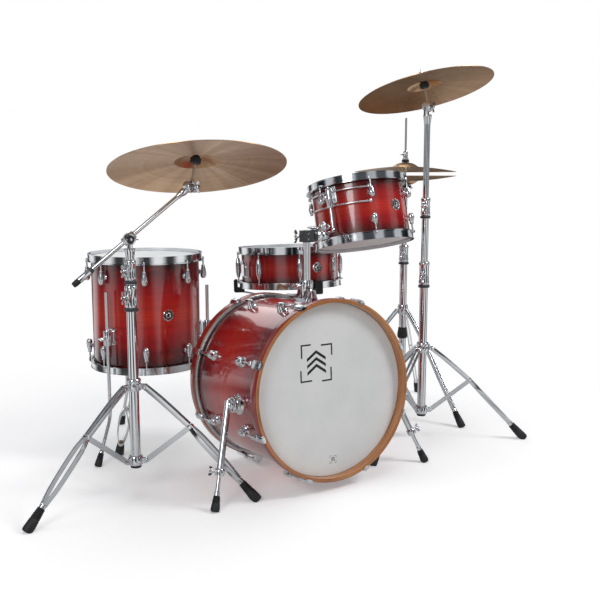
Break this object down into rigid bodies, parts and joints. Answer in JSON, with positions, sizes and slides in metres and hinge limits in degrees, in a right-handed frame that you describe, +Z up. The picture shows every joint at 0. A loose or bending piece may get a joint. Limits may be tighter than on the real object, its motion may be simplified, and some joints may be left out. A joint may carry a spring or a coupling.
{
  "type": "acoustic drum kit",
  "caption": "Acoustic drum kit: bass drum, rack tom, floor tom and snare, with hi-hat, ride and crash cymbals on folding stands that adjust.",
  "frame": {"origin": "on the floor, under the middle of the whole kit's box", "axes": "+Z up, -Y towards the audience (the bass drum's front), +X along the kit's width to the right as the audience sees it"},
  "size_m": [1.8274, 1.0016, 1.2702],
  "materials": {
    "lacquered_shell": "clear gloss lacquer over a red burst on maple",
    "wood_hoop": "clear gloss lacquer on bent maple",
    "drum_head": "sprayed white coating on polyester film",
    "cymbal_bronze": "lathed bronze",
    "steel_hoop": "polished chrome on rolled steel",
    "grey_casting": "satin grey moulding",
    "black_casting": "black powder coat",
    "chrome": "polished chrome plate"
  },
  "bodies": {
    "root": {"bass_shell": "lacquered_shell", "bass_hoops": "wood_hoop", "bass_heads": "drum_head", "bass_hardware": "chrome", "floor_tom_shell": "lacquered_shell", "floor_tom_hoops": "steel_hoop", "floor_tom_heads": "drum_head", "floor_tom_hardware": "chrome", "boom_base_tube": "chrome", "crash_base_tube": "chrome", "hihat_base": "chrome", "snare_stand_base": "chrome"},
    "ride": {"ride_cymbal": "cymbal_bronze"},
    "crash": {"crash_cymbal": "cymbal_bronze"},
    "hihat_tube": {"hihat_upper_tube": "chrome", "hihat_bottom_cymbal": "cymbal_bronze"},
    "hihat_rod": {"hihat_rod": "chrome", "hihat_top_cymbal": "cymbal_bronze"},
    "footboard": {"hihat_footboard": "black_casting"},
    "snare_tube": {"snare_stand_tube": "chrome"},
    "snare": {"snare_basket": "chrome", "snare_shell": "lacquered_shell", "snare_hoops": "steel_hoop", "snare_heads": "drum_head", "snare_hardware": "chrome"},
    "strainer_lever": {"snare_strainer_lever": "chrome"},
    "rack_tom": {"tom_arm": "chrome", "rack_tom_shell": "lacquered_shell", "rack_tom_hoops": "steel_hoop", "rack_tom_heads": "drum_head", "rack_tom_hardware": "chrome"},
    "spur_left": {"spur_left": "chrome"},
    "spur_right": {"spur_right": "chrome"},
    "floor_tom_leg_1": {"floor_tom_leg_1": "chrome"},
    "floor_tom_leg_2": {"floor_tom_leg_2": "chrome"},
    "floor_tom_leg_3": {"floor_tom_leg_3": "chrome"},
    "tom_post": {"tom_post": "chrome"},
    "tom_clamp": {"tom_clamp": "grey_casting"},
    "boom_leg_1": {"boom_leg_1": "chrome"},
    "boom_strut_1": {"boom_strut_1": "chrome"},
    "boom_leg_2": {"boom_leg_2": "chrome"},
    "boom_strut_2": {"boom_strut_2": "chrome"},
    "boom_leg_3": {"boom_leg_3": "chrome"},
    "boom_strut_3": {"boom_strut_3": "chrome"},
    "boom_collar": {"boom_collar": "chrome"},
    "boom_middle_tube": {"boom_middle_tube": "chrome"},
    "boom_upper_tube": {"boom_upper_tube": "chrome"},
    "boom_tilter": {"boom_tilter": "chrome"},
    "boom_rod": {"boom_rod": "chrome"},
    "ride_tilter": {"ride_tilter": "chrome"},
    "crash_leg_1": {"crash_leg_1": "chrome"},
    "crash_strut_1": {"crash_strut_1": "chrome"},
    "crash_leg_2": {"crash_leg_2": "chrome"},
    "crash_strut_2": {"crash_strut_2": "chrome"},
    "crash_leg_3": {"crash_leg_3": "chrome"},
    "crash_strut_3": {"crash_strut_3": "chrome"},
    "crash_collar": {"crash_collar": "chrome"},
    "crash_middle_tube": {"crash_middle_tube": "chrome"},
    "crash_upper_tube": {"crash_upper_tube": "chrome"},
    "crash_tilter": {"crash_tilter": "chrome"}
  },
  "joints": [
    {"name": "boom_collar_slide", "type": "slide", "parent": "root", "child": "boom_collar", "axis": [0, 0, 1], "range_m": [0, 0.118]},
    {"name": "boom_leg_1_fold", "type": "hinge", "parent": "boom_collar", "child": "boom_leg_1", "pos_m": [-0.54796, -0.16031, 0.318], "axis": [-0.9755, 0.2198, 0], "range_deg": [-0.05, 37.6]},
    {"name": "boom_strut_1_fold", "type": "hinge", "parent": "root", "child": "boom_strut_1", "pos_m": [-0.54862, -0.16324, 0.1], "axis": [0.9755, -0.2198, 0], "range_deg": [-0.05, 38.22]},
    {"name": "boom_leg_2_fold", "type": "hinge", "parent": "boom_collar", "child": "boom_leg_2", "pos_m": [-0.58789, -0.20359, 0.318], "axis": [0.2974, -0.9548, 0], "range_deg": [-0.05, 37.6]},
    {"name": "boom_strut_2_fold", "type": "hinge", "parent": "root", "child": "boom_strut_2", "pos_m": [-0.58503, -0.2027, 0.1], "axis": [-0.2974, 0.9548, 0], "range_deg": [-0.05, 38.22]},
    {"name": "boom_leg_3_fold", "type": "hinge", "parent": "boom_collar", "child": "boom_leg_3", "pos_m": [-0.53045, -0.21654, 0.318], "axis": [0.6782, 0.7349, 0], "range_deg": [-0.05, 37.6]},
    {"name": "boom_strut_3_fold", "type": "hinge", "parent": "root", "child": "boom_strut_3", "pos_m": [-0.53265, -0.2145, 0.1], "axis": [-0.6782, -0.7349, 0], "range_deg": [-0.05, 38.22]},
    {"name": "crash_collar_slide", "type": "slide", "parent": "root", "child": "crash_collar", "axis": [0, 0, 1], "range_m": [0, 0.118]},
    {"name": "crash_leg_1_fold", "type": "hinge", "parent": "crash_collar", "child": "crash_leg_1", "pos_m": [0.49398, -0.19997, 0.318], "axis": [-0.9943, 0.1063, 0], "range_deg": [-0.05, 37.6]},
    {"name": "crash_strut_1_fold", "type": "hinge", "parent": "root", "child": "crash_strut_1", "pos_m": [0.49366, -0.20295, 0.1], "axis": [0.9943, -0.1063, 0], "range_deg": [-0.05, 38.22]},
    {"name": "crash_leg_2_fold", "type": "hinge", "parent": "crash_collar", "child": "crash_leg_2", "pos_m": [0.45928, -0.24755, 0.318], "axis": [0.4051, -0.9143, 0], "range_deg": [-0.05, 37.6]},
    {"name": "crash_strut_2_fold", "type": "hinge", "parent": "root", "child": "crash_strut_2", "pos_m": [0.46203, -0.24634, 0.1], "axis": [-0.4051, 0.9143, 0], "range_deg": [-0.05, 38.22]},
    {"name": "crash_leg_3_fold", "type": "hinge", "parent": "crash_collar", "child": "crash_leg_3", "pos_m": [0.51784, -0.25381, 0.318], "axis": [0.5892, 0.808, 0], "range_deg": [-0.05, 37.6]},
    {"name": "crash_strut_3_fold", "type": "hinge", "parent": "root", "child": "crash_strut_3", "pos_m": [0.51541, -0.25204, 0.1], "axis": [-0.5892, -0.808, 0], "range_deg": [-0.05, 38.22]},
    {"name": "boom_height", "type": "slide", "parent": "root", "child": "boom_middle_tube", "axis": [0, 0, 1], "range_m": [0, 0.25]},
    {"name": "boom_swivel", "type": "hinge", "parent": "boom_middle_tube", "child": "boom_upper_tube", "pos_m": [-0.55543, -0.19348, 0], "axis": [0, 0, 1], "range_deg": [-60, 60]},
    {"name": "boom_tilt", "type": "hinge", "parent": "boom_upper_tube", "child": "boom_tilter", "pos_m": [-0.55543, -0.19348, 0.738], "axis": [-0.2756, -0.9613, 0], "range_deg": [-10, 25]},
    {"name": "boom_slide", "type": "slide", "parent": "boom_tilter", "child": "boom_rod", "axis": [0.7417, -0.2127, 0.6361], "range_m": [-0.08, 0.03]},
    {"name": "ride_tilt", "type": "hinge", "parent": "boom_rod", "child": "ride_tilter", "pos_m": [-0.3834, -0.222, 0.8808], "axis": [0.4603, -0.8878, 0], "range_deg": [-20, 20]},
    {"name": "ride_spin", "type": "hinge", "parent": "ride_tilter", "child": "ride", "pos_m": [-0.35444, -0.21374, 0.97299], "axis": [0.07, 0.2701, 0.9603], "continuous": true},
    {"name": "crash_height", "type": "slide", "parent": "root", "child": "crash_middle_tube", "axis": [0, 0, 1], "range_m": [-0.05, 0.15]},
    {"name": "crash_upper_height", "type": "slide", "parent": "crash_middle_tube", "child": "crash_upper_tube", "axis": [0, 0, 1], "range_m": [-0.05, 0.15]},
    {"name": "crash_tilt", "type": "hinge", "parent": "crash_upper_tube", "child": "crash_tilter", "pos_m": [0.49037, -0.23378, 1.142], "axis": [0.9744, 0.2249, 0], "range_deg": [-15, 40]},
    {"name": "crash_spin", "type": "hinge", "parent": "crash_tilter", "child": "crash", "pos_m": [0.49621, -0.23243, 1.142], "axis": [-0.0602, 0.2609, 0.9635], "continuous": true},
    {"name": "hihat_height", "type": "slide", "parent": "root", "child": "hihat_tube", "axis": [0, 0, 1], "range_m": [-0.08, 0.05]},
    {"name": "hihat_rod_slide", "type": "slide", "parent": "hihat_tube", "child": "hihat_rod", "axis": [0, 0, 1], "range_m": [-0.012, 0], "stiffness_N_per_m": 800, "springref_m": 0.045},
    {"name": "hihat_pedal", "type": "hinge", "parent": "root", "child": "footboard", "pos_m": [0.61964, 0.3552, 0.034], "axis": [0.9925, 0.1219, 0], "range_deg": [-0.05, 3]},
    {"name": "snare_height", "type": "slide", "parent": "root", "child": "snare_tube", "axis": [0, 0, 1], "range_m": [-0.02, 0.08]},
    {"name": "snare_basket_tilt", "type": "hinge", "parent": "snare_tube", "child": "snare", "pos_m": [0.22267, 0.20145, 0.42813], "axis": [1, 0, 0], "range_deg": [-12, 12]},
    {"name": "snare_strainer_throw", "type": "hinge", "parent": "snare", "child": "strainer_lever", "pos_m": [0.0249, 0.20476, 0.55713], "axis": [0.0175, -0.9985, 0.0523], "range_deg": [0, 70]},
    {"name": "spur_left_fold", "type": "hinge", "parent": "root", "child": "spur_left", "pos_m": [-0.31933, -0.35468, 0.266], "axis": [-1, 0, 0], "range_deg": [0, 65]},
    {"name": "spur_right_fold", "type": "hinge", "parent": "root", "child": "spur_right", "pos_m": [0.21467, -0.35468, 0.266], "axis": [-1, 0, 0], "range_deg": [0, 65]},
    {"name": "tom_post_slide", "type": "slide", "parent": "root", "child": "tom_post", "axis": [0, 0, 1], "range_m": [-0.05, 0.04]},
    {"name": "tom_clamp_swivel", "type": "hinge", "parent": "tom_post", "child": "tom_clamp", "pos_m": [-0.05233, -0.32468, 0.735], "axis": [0, 0, 1], "range_deg": [-15, 5]},
    {"name": "tom_arm_tilt", "type": "hinge", "parent": "tom_clamp", "child": "rack_tom", "pos_m": [-0.02133, -0.32468, 0.735], "axis": [1, 0, 0], "range_deg": [-8, 15]},
    {"name": "floor_tom_leg_1_slide", "type": "slide", "parent": "root", "child": "floor_tom_leg_1", "axis": [0, 0, 1], "range_m": [0, 0.1]},
    {"name": "floor_tom_leg_2_slide", "type": "slide", "parent": "root", "child": "floor_tom_leg_2", "axis": [0, 0, 1], "range_m": [0, 0.1]},
    {"name": "floor_tom_leg_3_slide", "type": "slide", "parent": "root", "child": "floor_tom_leg_3", "axis": [0, 0, 1], "range_m": [0, 0.1]}
  ],
  "couplings": [
    {"joint": "boom_leg_1_fold", "follows": "boom_collar_slide", "rad_per_m": 5.5536},
    {"joint": "boom_strut_1_fold", "follows": "boom_collar_slide", "rad_per_m": 5.6456},
    {"joint": "boom_leg_2_fold", "follows": "boom_collar_slide", "rad_per_m": 5.5536},
    {"joint": "boom_strut_2_fold", "follows": "boom_collar_slide", "rad_per_m": 5.6456},
    {"joint": "boom_leg_3_fold", "follows": "boom_collar_slide", "rad_per_m": 5.5536},
    {"joint": "boom_strut_3_fold", "follows": "boom_collar_slide", "rad_per_m": 5.6456},
    {"joint": "crash_leg_1_fold", "follows": "crash_collar_slide", "rad_per_m": 5.5536},
    {"joint": "crash_strut_1_fold", "follows": "crash_collar_slide", "rad_per_m": 5.6456},
    {"joint": "crash_leg_2_fold", "follows": "crash_collar_slide", "rad_per_m": 5.5536},
    {"joint": "crash_strut_2_fold", "follows": "crash_collar_slide", "rad_per_m": 5.6456},
    {"joint": "crash_leg_3_fold", "follows": "crash_collar_slide", "rad_per_m": 5.5536},
    {"joint": "crash_strut_3_fold", "follows": "crash_collar_slide", "rad_per_m": 5.6456},
    {"joint": "hihat_pedal", "follows": "hihat_rod_slide", "rad_per_m": -4.2194}
  ]
}
